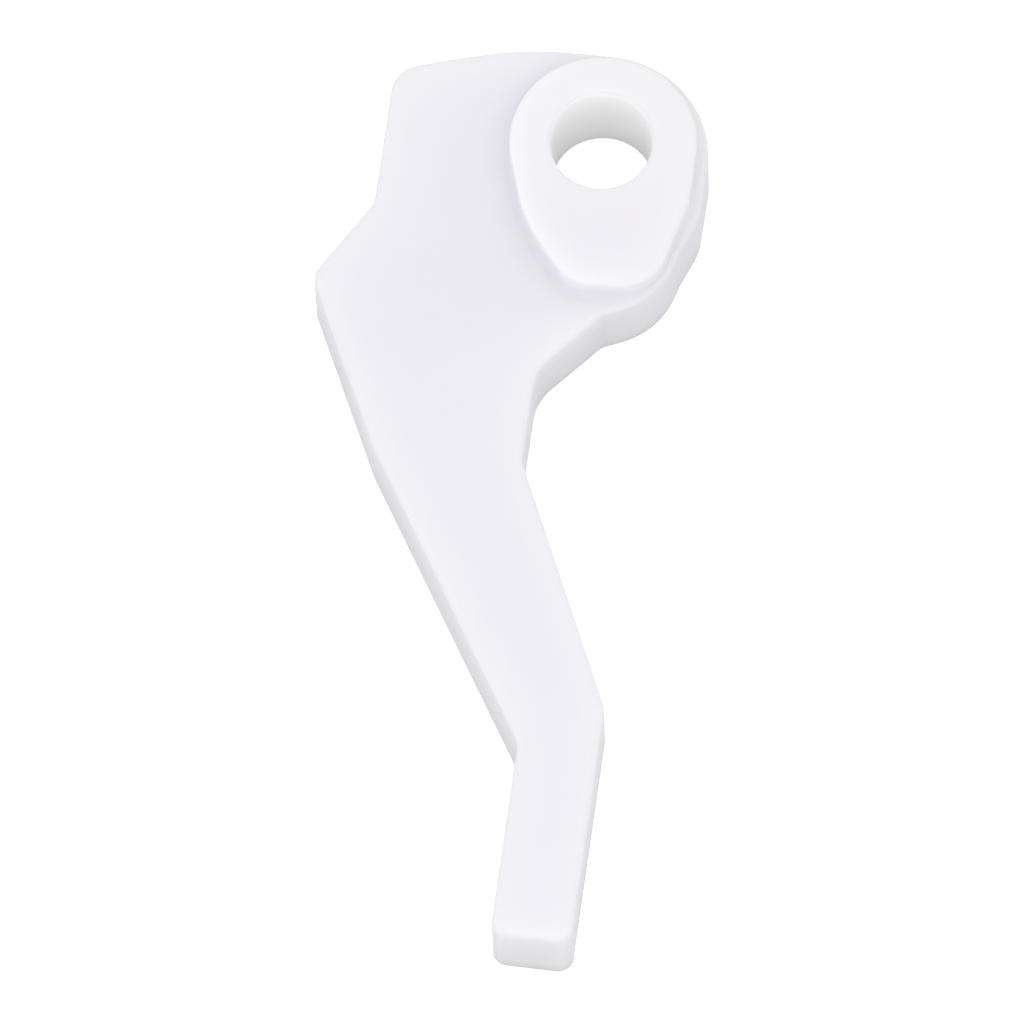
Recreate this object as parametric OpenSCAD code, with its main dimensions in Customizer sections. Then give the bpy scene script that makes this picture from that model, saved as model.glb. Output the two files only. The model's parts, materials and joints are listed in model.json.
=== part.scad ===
// Stair gate latch: a one-piece moulded plastic lever that turns on a pin.
// The back face lies on z = 0, the pivot axis is the Z axis and the boss faces +Z.
// +Y runs from the foot of the tail up to the hub. Millimetres throughout.

/* [Pivot] */
// Diameter of the pivot bore
bore_d = 8; // [5:0.5:10]
// Radius of the hub around the bore
hub_r = 8.4; // [8.2:0.1:9]
// Radius of the raised boss around the bore
boss_r = 7.2; // [6.6:0.1:7.2]
// Height of the boss above the plate
boss_h = 2.2; // [1:0.1:4]

/* [Lever] */
// Thickness of the plate
plate_t = 6.8; // [4:0.2:12]
// Distance from the pivot axis across to the straight edge of the catch
catch_x = 17.1; // [15:0.1:19]
// Distance from the pivot axis down to the elbow
elbow_y = 46.7; // [42:0.1:52]
// Distance from the pivot axis down to the foot of the tail
foot_y = 66.6; // [58:0.2:80]
// Width of the tail
tail_w = 6.3; // [5:0.1:7]
// Radius of the corners at the foot of the tail
foot_r = 1.2; // [0.8:0.1:2]

/* [Edges] */
// Radius of the rounded edges of the plate and the boss
edge_r = 0.3; // [0.1:0.05:0.45]
// Radius of the fillet where the boss meets the plate
base_r = 0.2; // [0.1:0.05:0.2]
// Radius of the rounded mouths of the bore
mouth_r = 0.45; // [0.1:0.05:0.8]

/* [Hidden] */

// Largest turn of one facet, around the outline and over a rounded edge
outline_step = 7.5;
edge_step = 22.5;
// How far the boss reaches down into the plate
boss_root = 0.8;
// Overshoot of a cutting tool past the face it cuts
past = 1;

total_h = plate_t + boss_h;
bore_r = bore_d / 2;
boss_x = boss_r + 0.3;
tail_left = 0.2;
tail_right = tail_left + tail_w;
waist_x = -2.7;

// Corners of the lever as [x, y, radius], anticlockwise from the foot of the tail
lever_corners = [
    [tail_right, -foot_y, foot_r],
    [tail_right, -elbow_y, 1.8],
    [waist_x, -26.8, 0.3],
    [waist_x, -19.1, 4.3],
    [1.8, -13.8, 1.4],
    [6.1, -11.9, 6.5],
    [7.2, -7.7, 2.2],
    [hub_r - 0.1, -4.9, 5],
    [hub_r + 0.1, hub_r - 0.1, hub_r],
    [-7.2, hub_r - 0.2, 31],
    [-catch_x, 5, 2.5],
    [-catch_x, -6.5, 2.3],
    [-21.1, -13.3, 1.8],
    [-14.4, -27.1, 5],
    [tail_left, -50.5, 0.8],
    [tail_left, -foot_y, foot_r],
];

// Corners of the boss, from its lower right round the bore to its lower left
boss_corners = [
    [5.6, -12, 3.6],
    [boss_x, -4.3, 4],
    [boss_x, boss_r, boss_r],
    [-boss_r, boss_r, boss_r],
    [-boss_r, -1.3, 7],
    [-5.1, -7.4, 10],
    [-0.9, -12.3, 3.2],
];

// Vector v at unit length
function unit(v) = v / norm(v);

// Arc that rounds corner p between neighbours a and b, moved d into the solid.
// bend is 1 at a corner that points outward and -1 at one that points inward.
function corner_arc(a, p, b, r, d) =
    let (u = unit(a - p))
    let (v = unit(b - p))
    let (bend = sign(v.x * u.y - v.y * u.x))
    let (half = acos(u * v) / 2)
    let (turn = 180 - 2 * half)
    let (arc_r = r - bend * d)
    let (centre = p + unit(u + v) * (arc_r + bend * d) / sin(half))
    let (start = centre_to_side(u, v, half))
    let (steps = max(2, ceil(turn / outline_step)))
    [for (k = [0:steps])
        let (angle = start + bend * turn * k / steps)
        centre + arc_r * [cos(angle), sin(angle)]];

// Direction from the centre of a rounded corner to where it touches side u
function centre_to_side(u, v, half) =
    let (w = u * cos(half) - unit(u + v))
    atan2(w.y, w.x);

// Outline through rounded corners, moved d into the solid
function rounded_outline(corners, d) =
    let (n = len(corners))
    [for (i = [0:n - 1])
        let (p = corners[i])
        let (a = corners[(i + n - 1) % n])
        let (b = corners[(i + 1) % n])
        each corner_arc([a.x, a.y], [p.x, p.y], [b.x, b.y], p.z, d)];

// Rim of a solid: a closed profile of [inset, height] points swept round its outline
module swept_rim(corners, profile) {
    rings = [for (q = profile) [for (p = rounded_outline(corners, q[0])) [p.x, p.y, q[1]]]];
    n = len(rings[0]);
    m = len(rings);
    polyhedron(
        points = [for (ring = rings) each ring],
        faces = [for (k = [0:m - 1], i = [0:n - 1])
            let (j = (i + 1) % n)
            let (up = (k + 1) % m)
            [k * n + i, up * n + i, up * n + j, k * n + j]]
    );
}

// Quarter rounds as [inset, height]: a lower edge, an upper edge and a root fillet
function lower_round(z, r) = [for (t = [0:edge_step:90]) [r * (1 - sin(t)), z + r * (1 - cos(t))]];
function upper_round(z, r) = [for (t = [90:-edge_step:0]) [r * (1 - sin(t)), z - r * (1 - cos(t))]];
function root_fillet(z, r) = [for (t = [0:edge_step:90]) [-r * (1 - sin(t)), z + r * (1 - cos(t))]];

// Flat lever plate with rounded edges
module plate() {
    linear_extrude(plate_t) polygon(rounded_outline(lever_corners, edge_r));
    swept_rim(lever_corners, concat(
        lower_round(0, edge_r),
        upper_round(plate_t, edge_r),
        [[2 * edge_r, plate_t - edge_r], [2 * edge_r, edge_r]]
    ));
}

// Raised pad around the bore, flared where it meets the plate
module boss() {
    linear_extrude(total_h) polygon(rounded_outline(boss_corners, edge_r));
    swept_rim(boss_corners, concat(
        [[0, plate_t - boss_root]],
        root_fillet(plate_t, base_r),
        upper_round(total_h, edge_r),
        [[2 * edge_r, total_h - edge_r], [2 * edge_r, plate_t - boss_root]]
    ));
}

// Cutting tool for the rounded mouth of the bore in the face at z = 0
module bore_mouth() {
    rotate_extrude($fn = 64) difference() {
        translate([0, -past]) square([bore_r + mouth_r, past + mouth_r]);
        translate([bore_r + mouth_r, mouth_r]) circle(mouth_r, $fn = 64);
    }
}

// Pivot bore through the hub and the boss
module pivot_bore() {
    translate([0, 0, -past]) cylinder(d = bore_d, h = total_h + 2 * past, $fn = 64);
    bore_mouth();
    translate([0, 0, total_h]) mirror([0, 0, 1]) bore_mouth();
}

// The whole moulding
module latch_lever() {
    color("white") difference() {
        union() {
            plate();
            boss();
        }
        pivot_bore();
    }
}

latch_lever();
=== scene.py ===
"""Studio scene of the stair gate latch, a one-piece moulded plastic lever.

Everything is in metres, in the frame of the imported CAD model. The fine skin of the lever is
built on outlines cut from the CAD node itself, so that its size always comes from the CAD.
"""

import json
import math

import bmesh
import bpy
import numpy as np
from mathutils import Matrix, Vector
from mathutils.geometry import delaunay_2d_cdt


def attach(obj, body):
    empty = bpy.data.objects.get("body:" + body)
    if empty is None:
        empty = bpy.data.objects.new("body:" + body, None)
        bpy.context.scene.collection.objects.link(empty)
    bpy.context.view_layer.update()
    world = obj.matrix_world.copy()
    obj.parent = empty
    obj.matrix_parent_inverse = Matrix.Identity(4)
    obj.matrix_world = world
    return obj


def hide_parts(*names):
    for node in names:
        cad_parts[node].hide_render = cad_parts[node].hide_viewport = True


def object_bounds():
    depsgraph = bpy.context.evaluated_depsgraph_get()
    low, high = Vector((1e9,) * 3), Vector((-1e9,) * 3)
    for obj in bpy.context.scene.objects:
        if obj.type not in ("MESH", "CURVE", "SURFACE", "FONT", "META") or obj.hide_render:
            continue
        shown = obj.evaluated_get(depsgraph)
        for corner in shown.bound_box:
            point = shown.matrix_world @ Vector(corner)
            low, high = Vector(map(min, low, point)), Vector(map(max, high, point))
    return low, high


MM = 0.001
NODE = "latch_lever"

# Rounded edges of the moulding
EDGE_ROUND = 0.30 * MM
FOOT_ROUND = 0.55 * MM
FOOT_BACK_ROUND = 0.45 * MM
BOSS_FILLET = 0.80 * MM
THIN_FILLET = 0.05 * MM
LEDGE_SPARE = 0.02 * MM
EASED_AROUND = 4
MOUTH_ROUND = 0.45 * MM
ROUND_STEPS = 8

# Where the fuller rounding at the foot of the tail takes over, by distance up from the foot
# and by how squarely the wall faces down the tail
FOOT_REACH = (1.0 * MM, 3.0 * MM)
FOOT_FACING = (0.1, 0.95)

# Fineness of the skin along the outlines and up the walls
OUTLINE_SPACING = 0.35 * MM
OUTLINE_TURN = math.radians(2.5)
SHORTEST_SIDE = 0.015 * MM
FLATTEST_TURN = math.radians(0.4)
LONG_SIDE_RATIO = 2.5
WALL_RINGS = 8
BORE_SIDES = 192

# How closely points are joined and faces are taken as level when the CAD mesh is read
WELD_DISTANCE = 1e-6
LEVEL_NORMAL = 0.9999

# Camera, set by where it stands around the part
CAMERA_AZIMUTH = math.radians(9.942)
CAMERA_ELEVATION = math.radians(66.979)
CAMERA_ROLL = math.radians(2.401)
CAMERA_DISTANCE = 1985.04 * MM
CAMERA_LENS = 893.57
AIM_OFFSET = Vector((3.190, -0.932, -0.624)) * MM

# Light, and the floor that the part lies on
SKY_ABOVE = 0.95
SKY_BELOW = 0.26
SKY_FADE = 0.80
KEY_POWER = 3.2
KEY_SIZE = 0.9
KEY_DISTANCE = 1.3
KEY_DIRECTION = (0.05, -0.6, 1)
FLOOR_SIZE = 14.0
FLOOR_GAP = 0.01 * MM
FLOOR_WHITE = 0.60
FLOOR_GLOW = 0.66

# Plastic
BODY_TINT = (0.798, 0.790, 0.829)
BODY_TINT_COOL = (0.789, 0.782, 0.826)
# Painted light: the raised boss face is painted a shade lighter than the plate, as if it caught
# more light
BOSS_PAINTED_LIGHT_TINT = (0.801, 0.793, 0.831)
# Painted light: the bore wall is painted lighter than the body to lift the shade inside it, fading
# out over the mouth
BORE_PAINTED_LIGHT = (0.985, 0.983, 0.990)
BORE_PAINTED_LIGHT_FADE = 0.12 * MM
SCATTER_RADIUS = (1.0, 0.95, 0.9)
SCATTER_SCALE = 4.5 * MM
ROUGHNESS = (0.50, 0.60)
REFRACTION = 1.49
GLOSS = 0.25

# Fineness of the surface detail, in cycles a metre, and the depth of its relief
CLOUD_SCALE = 90
SHEEN_SCALE = 450
BROAD_SCALE, BROAD_DEPTH = 120, 0.012 * MM
GRAIN_SCALE, GRAIN_DEPTH = 4200, 0.0016 * MM
MOTTLE_SCALE = 35


# ---------------------------------------------------------------- outlines

def unit(vectors):
    """Rows of vectors at unit length."""
    return vectors / np.linalg.norm(vectors, axis=1, keepdims=True)


def signed_area(points):
    """Area inside a loop, above nought if it runs anticlockwise."""
    x, y = points.T
    return 0.5 * float(np.sum(x * np.roll(y, -1) - np.roll(x, -1) * y))


def welded(mesh):
    """A bmesh copy of a mesh with its split vertices joined."""
    made = bmesh.new()
    made.from_mesh(mesh)
    bmesh.ops.remove_doubles(made, verts=made.verts, dist=WELD_DISTANCE)
    return made


def flat_levels(mesh):
    """Heights of the two largest faces that look straight up, lower one first."""
    made = welded(mesh)
    areas = {}
    for face in made.faces:
        if face.normal.z > LEVEL_NORMAL:
            height = round(face.calc_center_median().z, 6)
            areas[height] = areas.get(height, 0) + face.calc_area()
    made.free()
    return sorted(sorted(areas, key=areas.get)[-2:])


def cut_loops(mesh, height):
    """The closed loops, anticlockwise and longest first, where a level plane cuts a mesh."""
    made = welded(mesh)
    everything = made.verts[:] + made.edges[:] + made.faces[:]
    cut = bmesh.ops.bisect_plane(
        made, geom=everything, plane_co=(0, 0, height), plane_no=(0, 0, 1))["geom_cut"]
    links = {}
    for edge in cut:
        if isinstance(edge, bmesh.types.BMEdge):
            a, b = edge.verts
            links.setdefault(a, []).append(b)
            links.setdefault(b, []).append(a)
    loops = []
    left = sorted(links, key=lambda v: v.index)
    seen = set()
    for first in left:
        if first in seen:
            continue
        loop, at = [], first
        while at is not None:
            seen.add(at)
            loop.append((at.co.x, at.co.y))
            at = next((v for v in links[at] if v not in seen), None)
        points = np.array(loop)
        loops.append(points if signed_area(points) > 0 else points[::-1])
    made.free()
    return sorted(loops, key=lambda p: -abs(signed_area(p)))


def true_corners(points):
    """Points of a loop without those that lie on the straight between their neighbours."""
    while True:
        back = points - np.roll(points, 1, axis=0)
        on = np.roll(points, -1, axis=0) - points
        apart = np.linalg.norm(back, axis=1) > SHORTEST_SIDE
        a, b = unit(back + 1e-12), unit(on + 1e-12)
        turn = np.abs(a[:, 0] * b[:, 1] - a[:, 1] * b[:, 0])
        keep = apart & (turn > math.sin(FLATTEST_TURN))
        if keep.all():
            return points
        # neighbours are never dropped together, so a small arc isn't lost
        drop = ~keep
        drop &= ~np.roll(drop, 1)
        points = points[~drop]


def smooth_loop(corners):
    """A fine smooth loop through the corners of a many-sided outline, with its outward normals."""
    on = np.roll(corners, -1, axis=0) - corners
    back = corners - np.roll(corners, 1, axis=0)
    long_on = np.linalg.norm(on, axis=1)[:, None]
    long_back = np.linalg.norm(back, axis=1)[:, None]
    tangent = unit(unit(on) + unit(back))
    tangent = np.where(long_on > LONG_SIDE_RATIO * long_back, unit(on), tangent)
    tangent = np.where(long_back > LONG_SIDE_RATIO * long_on, unit(back), tangent)
    points, normals = [], []
    for i, start in enumerate(corners):
        end = corners[(i + 1) % len(corners)]
        t0, t1 = tangent[i], tangent[(i + 1) % len(corners)]
        length = float(np.linalg.norm(end - start))
        turn = math.acos(max(-1.0, min(1.0, float(t0 @ t1))))
        steps = max(1, math.ceil(length / OUTLINE_SPACING), math.ceil(turn / OUTLINE_TURN))
        for s in np.arange(steps) / steps:
            at = (start * (1 + 2 * s) * (1 - s) ** 2 + end * s * s * (3 - 2 * s)
                  + length * (t0 * s * (1 - s) ** 2 + t1 * s * s * (s - 1)))
            way = (6 * s * (s - 1) * (start - end) / length
                   + t0 * (1 - s) * (1 - 3 * s) + t1 * s * (3 * s - 2))
            way = way / np.linalg.norm(way)
            points.append(at)
            normals.append((way[1], -way[0]))
    return np.array(points), np.array(normals)


def distance_to_loop(points, loop):
    """Distance from each point to the nearest place on a closed loop."""
    a, b = loop, np.roll(loop, -1, axis=0)
    side = b - a
    offset = points[:, None, :] - a[None]
    share = np.clip((offset * side).sum(2) / (side ** 2).sum(1), 0, 1)
    return np.sqrt(((offset - share[..., None] * side) ** 2).sum(2)).min(1)


def inside_loop(points, loop):
    """Whether each point lies inside a closed loop."""
    (x, y), (ax, ay) = points.T[:, :, None], loop.T
    bx, by = np.roll(loop, -1, axis=0).T
    with np.errstate(divide="ignore", invalid="ignore"):
        crosses = ((ay > y) != (by > y)) & (x < (bx - ax) * (y - ay) / (by - ay) + ax)
    return crosses.sum(1) % 2 == 1


def eased(values, around):
    """Values along a closed loop, averaged over a few neighbours so that they change gently."""
    total = sum(np.roll(values, k) for k in range(-around, around + 1))
    return total / (2 * around + 1)


def smoothstep(low, high, values):
    """Values eased from 0 at low to 1 at high."""
    share = np.clip((values - low) / (high - low), 0, 1)
    return share * share * (3 - 2 * share)


# ---------------------------------------------------------------- skin of the lever

class Skin:
    """A closed skin made of rings of points, strips between them and flat caps."""

    def __init__(self):
        self.points, self.normals, self.faces = [], [], []

    def ring(self, flat, height, normals):
        """Adds a ring and returns the numbers of its points."""
        first = len(self.points)
        heights = np.broadcast_to(height, len(flat))
        self.points.extend((float(p[0]), float(p[1]), float(z)) for p, z in zip(flat, heights))
        self.normals.extend(tuple(float(c) for c in n) for n in unit(normals))
        return list(range(first, first + len(flat)))

    def strips(self, rings):
        """Joins each ring to the next with a band of faces."""
        for low, high in zip(rings, rings[1:]):
            for i in range(len(low)):
                j = (i + 1) % len(low)
                self.faces.append((low[i], low[j], high[j], high[i]))

    def cap(self, outer, hole, up):
        """Fills the flat space between an outer ring and a hole."""
        numbers = outer + hole
        flat = [Vector(self.points[n][:2]) / MM for n in numbers]
        edges, first = [], 0
        for loop in (outer, hole):
            edges += [(first + k, first + (k + 1) % len(loop)) for k in range(len(loop))]
            first += len(loop)
        made, _, faces, origin, _, _ = delaunay_2d_cdt(flat, edges, [], 1, 1e-7)
        middles = np.array([sum((made[v] for v in face), Vector((0, 0))) / 3 for face in faces])
        rim = np.array([tuple(p) for p in flat[len(outer):]])
        for face, in_hole in zip(faces, inside_loop(middles, rim)):
            if in_hole:
                continue
            a, b, c = (made[v] for v in face)
            turn = (b - a).cross(c - a)
            corner = tuple(numbers[origin[v][0]] for v in face)
            self.faces.append(corner if (turn > 0) == up else corner[::-1])

    def object(self, name, material):
        mesh = bpy.data.meshes.new(name)
        mesh.from_pydata(self.points, [], self.faces)
        mesh.polygons.foreach_set("use_smooth", [True] * len(mesh.polygons))
        mesh.materials.append(material)
        mesh.normals_split_custom_set_from_vertices(self.normals)
        mesh.update()
        made = bpy.data.objects.new(name, mesh)
        bpy.context.scene.collection.objects.link(made)
        return made


def with_height(outward, across, up):
    """Normals that lean from an outline's outward direction towards up."""
    across = np.broadcast_to(across, len(outward))
    return np.column_stack([outward * across[:, None], np.broadcast_to(up, len(outward))])


def quarter():
    """Angles over a quarter turn."""
    return [math.radians(90) * k / ROUND_STEPS for k in range(ROUND_STEPS + 1)]


def convex_top(skin, points, outward, level, radius):
    """Rings over a rounded upper edge, from the wall in to the face."""
    radius = np.broadcast_to(radius, len(points))
    return [skin.ring(points - outward * (radius * (1 - math.cos(t)))[:, None],
                      level - radius * (1 - math.sin(t)),
                      with_height(outward, math.cos(t), math.sin(t))) for t in quarter()]


def convex_foot(skin, points, outward, level, radius):
    """Rings over a rounded lower edge, from the back face out to the wall."""
    return [skin.ring(points - outward * (radius * (1 - math.sin(t)))[:, None],
                      level + radius * (1 - math.cos(t)),
                      with_height(outward, math.sin(t), -math.cos(t))) for t in quarter()]


def root_fillet(skin, points, outward, level, radius):
    """Rings up a hollow fillet, from the face it stands on to the wall."""
    return [skin.ring(points + outward * (radius * (1 - math.sin(t)))[:, None],
                      level + radius * (1 - math.cos(t)),
                      with_height(outward, math.sin(t), math.cos(t))) for t in quarter()]


def wall(skin, points, outward, low, high):
    """Rings up a straight wall, without those at its two ends."""
    low, high = np.broadcast_to(low, len(points)), np.broadcast_to(high, len(points))
    return [skin.ring(points, low + (high - low) * k / WALL_RINGS, with_height(outward, 1, 0))
            for k in range(1, WALL_RINGS)]


def edge_radius(points, outward, at_foot):
    """Radius of a rounded edge: small all round, and fuller across the foot of the tail."""
    reach = points[:, 1] - points[:, 1].min()
    on_foot = 1 - smoothstep(*FOOT_REACH, reach)
    facing_down = smoothstep(*FOOT_FACING, -outward[:, 1])
    return EDGE_ROUND + (at_foot - EDGE_ROUND) * on_foot * facing_down


def bore_rings(skin, radius, top):
    """Rings down the bore, from its upper mouth to its lower one."""
    angles = np.arange(BORE_SIDES) * 2 * math.pi / BORE_SIDES
    spokes = np.column_stack([np.cos(angles), np.sin(angles)])
    upper = [skin.ring(spokes * (radius + MOUTH_ROUND * (1 - math.sin(t))),
                       top - MOUTH_ROUND * (1 - math.cos(t)),
                       with_height(-spokes, math.sin(t), math.cos(t))) for t in quarter()]
    middle = wall(skin, spokes * radius, -spokes, top - MOUTH_ROUND, MOUTH_ROUND)
    lower = [skin.ring(spokes * (radius + MOUTH_ROUND * (1 - math.sin(t))),
                       MOUTH_ROUND * (1 - math.cos(t)),
                       with_height(-spokes, math.sin(t), -math.cos(t))) for t in quarter()[::-1]]
    return upper + middle + lower


def build_lever(cad_mesh, bore_radius, material):
    """The whole moulding as one closed skin, on outlines cut from the CAD node."""
    plate_top, boss_top = flat_levels(cad_mesh)
    lever, lever_out = smooth_loop(true_corners(cut_loops(cad_mesh, plate_top / 2)[0]))
    boss_cut = cut_loops(cad_mesh, (plate_top + boss_top) / 2)[0]
    boss, boss_out = smooth_loop(true_corners(boss_cut))

    skin = Skin()
    edge = edge_radius(lever, lever_out, FOOT_ROUND)
    back_edge = edge_radius(lever, lever_out, FOOT_BACK_ROUND)
    plate = convex_foot(skin, lever, lever_out, 0, back_edge)
    plate += wall(skin, lever, lever_out, back_edge, plate_top - edge)
    plate += convex_top(skin, lever, lever_out, plate_top, edge)
    skin.strips(plate)

    ledge = distance_to_loop(boss, lever) - EDGE_ROUND - LEDGE_SPARE
    fillet = eased(np.clip(ledge, THIN_FILLET, BOSS_FILLET), EASED_AROUND)
    fillet = np.minimum(fillet, np.maximum(ledge, LEDGE_SPARE))
    pad = root_fillet(skin, boss, boss_out, plate_top, fillet)
    pad += wall(skin, boss, boss_out, plate_top + fillet, boss_top - EDGE_ROUND)
    pad += convex_top(skin, boss, boss_out, boss_top, EDGE_ROUND)
    skin.strips(pad)

    bore = bore_rings(skin, bore_radius, boss_top)
    skin.strips(bore)
    skin.cap(plate[-1], pad[0], up=True)
    skin.cap(pad[-1], bore[0], up=True)
    skin.cap(plate[0], bore[-1], up=False)
    return skin.object("lever_moulding", material)


# ---------------------------------------------------------------- materials

def new_material(name):
    """A material with its node tree and the one shader in it."""
    material = bpy.data.materials.new(name)
    material.use_nodes = True
    tree = material.node_tree
    tree.nodes.clear()
    output = tree.nodes.new("ShaderNodeOutputMaterial")
    shader = tree.nodes.new("ShaderNodeBsdfPrincipled")
    tree.links.new(shader.outputs["BSDF"], output.inputs["Surface"])
    return material, tree, shader


def noise(tree, scale, detail=2.0, rough=0.5):
    """Noise in the object's own metres, so that it never slides over the surface."""
    place = tree.nodes.new("ShaderNodeTexCoord")
    texture = tree.nodes.new("ShaderNodeTexNoise")
    texture.inputs["Scale"].default_value = scale
    texture.inputs["Detail"].default_value = detail
    texture.inputs["Roughness"].default_value = rough
    tree.links.new(place.outputs["Object"], texture.inputs["Vector"])
    return texture.outputs["Fac"]


def between(tree, value, low, high, start=0.3, end=0.7):
    """A factor spread over the range low to high, as the value goes from start to end."""
    spread = tree.nodes.new("ShaderNodeMapRange")
    spread.inputs["From Min"].default_value = start
    spread.inputs["From Max"].default_value = end
    spread.inputs["To Min"].default_value = low
    spread.inputs["To Max"].default_value = high
    tree.links.new(value, spread.inputs["Value"])
    return spread.outputs["Result"]


def height(tree):
    """Height above the back face, in the object's own metres."""
    place = tree.nodes.new("ShaderNodeTexCoord")
    parts = tree.nodes.new("ShaderNodeSeparateXYZ")
    tree.links.new(place.outputs["Object"], parts.inputs["Vector"])
    return parts.outputs["Z"]


def from_axis(tree):
    """Distance from the pivot axis, in the object's own metres."""
    place = tree.nodes.new("ShaderNodeTexCoord")
    flat = tree.nodes.new("ShaderNodeVectorMath")
    flat.operation = "MULTIPLY"
    flat.inputs[1].default_value = (1, 1, 0)
    reach = tree.nodes.new("ShaderNodeVectorMath")
    reach.operation = "LENGTH"
    tree.links.new(place.outputs["Object"], flat.inputs[0])
    tree.links.new(flat.outputs["Vector"], reach.inputs[0])
    return reach.outputs["Value"]


def blend(tree, factor, first, second):
    """A colour between two, each a fixed colour or another node's."""
    mix = tree.nodes.new("ShaderNodeMix")
    mix.data_type = "RGBA"
    for socket, colour in ((mix.inputs[6], first), (mix.inputs[7], second)):
        if isinstance(colour, tuple):
            socket.default_value = (*colour, 1)
        else:
            tree.links.new(colour, socket)
    tree.links.new(factor, mix.inputs["Factor"])
    return mix.outputs[2]


def bump(tree, relief, depth, under=None):
    """A normal bent by a relief, laid over another normal if one is given."""
    node = tree.nodes.new("ShaderNodeBump")
    node.inputs["Strength"].default_value = 1.0
    node.inputs["Distance"].default_value = depth
    tree.links.new(relief, node.inputs["Height"])
    if under is not None:
        tree.links.new(under, node.inputs["Normal"])
    return node.outputs["Normal"]


def moulded_plastic(plate_top, boss_top, bore_radius):
    """White satin plastic that light soaks into, with flow clouds and mould grain. Its boss face
    is painted a shade lighter and its bore wall painted lighter, both painted light.
    """
    material, tree, shader = new_material("moulded_plastic")
    clouds = noise(tree, CLOUD_SCALE, detail=3)
    body = blend(tree, between(tree, clouds, 0, 1), BODY_TINT, BODY_TINT_COOL)
    # painted highlight: the colour goes a shade lighter with height, up to the boss face
    boss_painted_light = between(tree, height(tree), 0, 1, plate_top, boss_top)
    faces = blend(tree, boss_painted_light, body, BOSS_PAINTED_LIGHT_TINT)
    # painted light: the colour is lighter on the bore wall, against the shade that falls inside it
    painted_bore_light = between(tree, from_axis(tree), 1, 0, bore_radius, bore_radius + BORE_PAINTED_LIGHT_FADE)
    tree.links.new(blend(tree, painted_bore_light, faces, BORE_PAINTED_LIGHT), shader.inputs["Base Color"])
    sheen_map = noise(tree, SHEEN_SCALE, detail=4)
    tree.links.new(between(tree, sheen_map, *ROUGHNESS), shader.inputs["Roughness"])
    shader.inputs["IOR"].default_value = REFRACTION
    shader.inputs["Specular IOR Level"].default_value = GLOSS
    shader.inputs["Subsurface Weight"].default_value = 1.0
    shader.inputs["Subsurface Radius"].default_value = SCATTER_RADIUS
    shader.inputs["Subsurface Scale"].default_value = SCATTER_SCALE
    broad = bump(tree, noise(tree, BROAD_SCALE, detail=1), BROAD_DEPTH)
    fine = noise(tree, GRAIN_SCALE, detail=3, rough=0.6)
    grain = bump(tree, fine, GRAIN_DEPTH, under=broad)
    tree.links.new(grain, shader.inputs["Normal"])
    return material


def pale_board():
    """Matt white light board with the faintest mottle."""
    material, tree, shader = new_material("pale_board")
    mottle = between(tree, noise(tree, MOTTLE_SCALE, detail=4), 0, 1)
    white, dimmer = (FLOOR_WHITE,) * 3, (0.985 * FLOOR_WHITE,) * 3
    tree.links.new(blend(tree, mottle, white, dimmer), shader.inputs["Base Color"])
    shader.inputs["Roughness"].default_value = 0.9
    shader.inputs["Specular IOR Level"].default_value = 0.1
    shader.inputs["Emission Color"].default_value = (1, 1, 1, 1)
    shader.inputs["Emission Strength"].default_value = FLOOR_GLOW
    return material


# ---------------------------------------------------------------- stage, light, camera

def add_floor():
    """A level square floor under the part. It is stage, and throws no light back on the part."""
    made = bmesh.new()
    bmesh.ops.create_grid(made, x_segments=1, y_segments=1, size=FLOOR_SIZE / 2)
    mesh = bpy.data.meshes.new("floor")
    made.to_mesh(mesh)
    made.free()
    mesh.materials.append(pale_board())
    floor = bpy.data.objects.new("floor", mesh)
    floor.location.z = -FLOOR_GAP
    floor.visible_diffuse = False
    bpy.context.scene.collection.objects.link(floor)


def add_sky():
    """Soft light from all round, as inside a light tent, that fades towards straight below."""
    world = bpy.data.worlds.new("light_tent")
    world.use_nodes = True
    tree = world.node_tree
    sky = tree.nodes["Background"]
    sky.inputs["Color"].default_value = (1, 1, 1, 1)
    place = tree.nodes.new("ShaderNodeTexCoord")
    parts = tree.nodes.new("ShaderNodeSeparateXYZ")
    fade = tree.nodes.new("ShaderNodeMapRange")
    fade.interpolation_type = "SMOOTHSTEP"
    fade.inputs["From Min"].default_value = -SKY_FADE
    fade.inputs["From Max"].default_value = 0
    fade.inputs["To Min"].default_value = SKY_BELOW
    fade.inputs["To Max"].default_value = SKY_ABOVE
    tree.links.new(place.outputs["Generated"], parts.inputs["Vector"])
    tree.links.new(parts.outputs["Z"], fade.inputs["Value"])
    tree.links.new(fade.outputs["Result"], sky.inputs["Strength"])
    bpy.context.scene.world = world


def add_softbox(name, target, direction, distance, size, power):
    """A square lamp that faces the part."""
    lamp = bpy.data.lights.new(name, "AREA")
    lamp.size = size
    lamp.energy = power
    made = bpy.data.objects.new(name, lamp)
    way = Vector(direction).normalized()
    made.location = target + way * distance
    made.rotation_mode = "QUATERNION"
    made.rotation_quaternion = way.to_track_quat("Z", "Y")
    bpy.context.scene.collection.objects.link(made)


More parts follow.
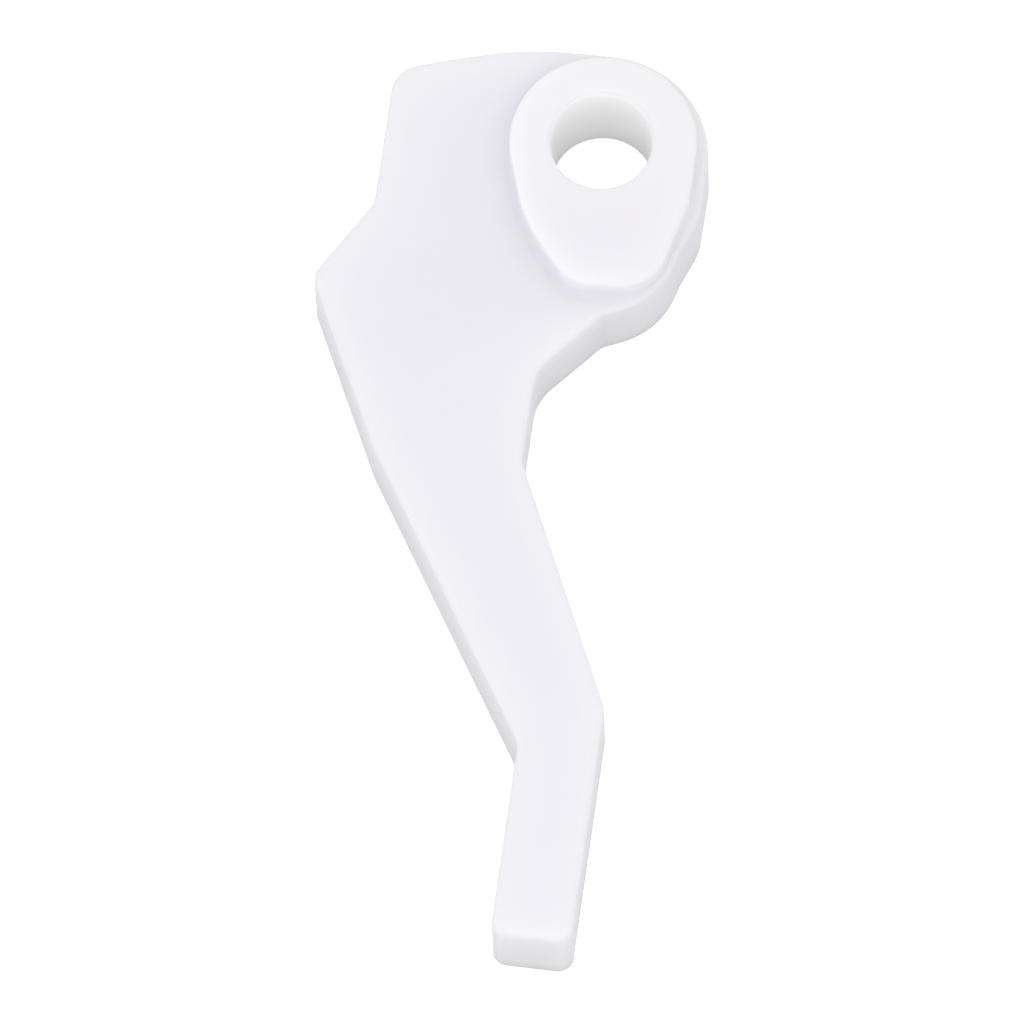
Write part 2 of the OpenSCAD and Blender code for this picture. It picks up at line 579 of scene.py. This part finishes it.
def add_camera(centre):
    """A long lens, high over the foot of the tail."""
    back = Vector((math.sin(CAMERA_AZIMUTH) * math.cos(CAMERA_ELEVATION),
                   -math.cos(CAMERA_AZIMUTH) * math.cos(CAMERA_ELEVATION),
                   math.sin(CAMERA_ELEVATION)))
    level_up = (Vector((0, 0, 1)) - back * back.z).normalized()
    level_right = level_up.cross(back)
    up = level_up * math.cos(CAMERA_ROLL) + level_right * math.sin(CAMERA_ROLL)
    right = up.cross(back)
    lens = bpy.data.cameras.new("camera")
    lens.lens = CAMERA_LENS
    lens.sensor_width = 36
    lens.clip_start = 0.1
    lens.clip_end = 40
    camera = bpy.data.objects.new("camera", lens)
    camera.matrix_world = (Matrix.Translation(centre + AIM_OFFSET + back * CAMERA_DISTANCE)
                           @ Matrix((right, up, back)).transposed().to_4x4())
    bpy.context.scene.collection.objects.link(camera)
    bpy.context.scene.camera = camera


def corners(box):
    """The two corners of a box as plain lists."""
    return [[round(float(c), 6) for c in corner] for corner in box]


# ---------------------------------------------------------------- the scene

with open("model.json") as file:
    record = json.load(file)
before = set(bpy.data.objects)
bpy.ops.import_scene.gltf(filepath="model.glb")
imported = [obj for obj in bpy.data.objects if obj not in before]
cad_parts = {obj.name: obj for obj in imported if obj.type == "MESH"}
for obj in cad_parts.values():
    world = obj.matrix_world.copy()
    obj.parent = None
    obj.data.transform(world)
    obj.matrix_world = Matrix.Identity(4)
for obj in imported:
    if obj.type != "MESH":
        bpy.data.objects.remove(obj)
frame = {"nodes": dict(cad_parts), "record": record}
cad_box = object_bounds()
centre = (cad_box[0] + cad_box[1]) / 2
bore = next(m for m in frame["record"]["mounts"] if m["name"] == "pivot_bore")

bpy.context.scene.view_settings.view_transform = "Standard"
add_camera(centre)
add_sky()
add_softbox("key_softbox", centre, KEY_DIRECTION, KEY_DISTANCE, KEY_SIZE, KEY_POWER)
add_floor()

cad_mesh = frame["nodes"][NODE].data
bore_radius = bore["dims"]["r_mm"] * MM
plastic = moulded_plastic(*flat_levels(cad_mesh), bore_radius)
lever = build_lever(cad_mesh, bore_radius, plastic)
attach(lever, "root")
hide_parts(NODE)
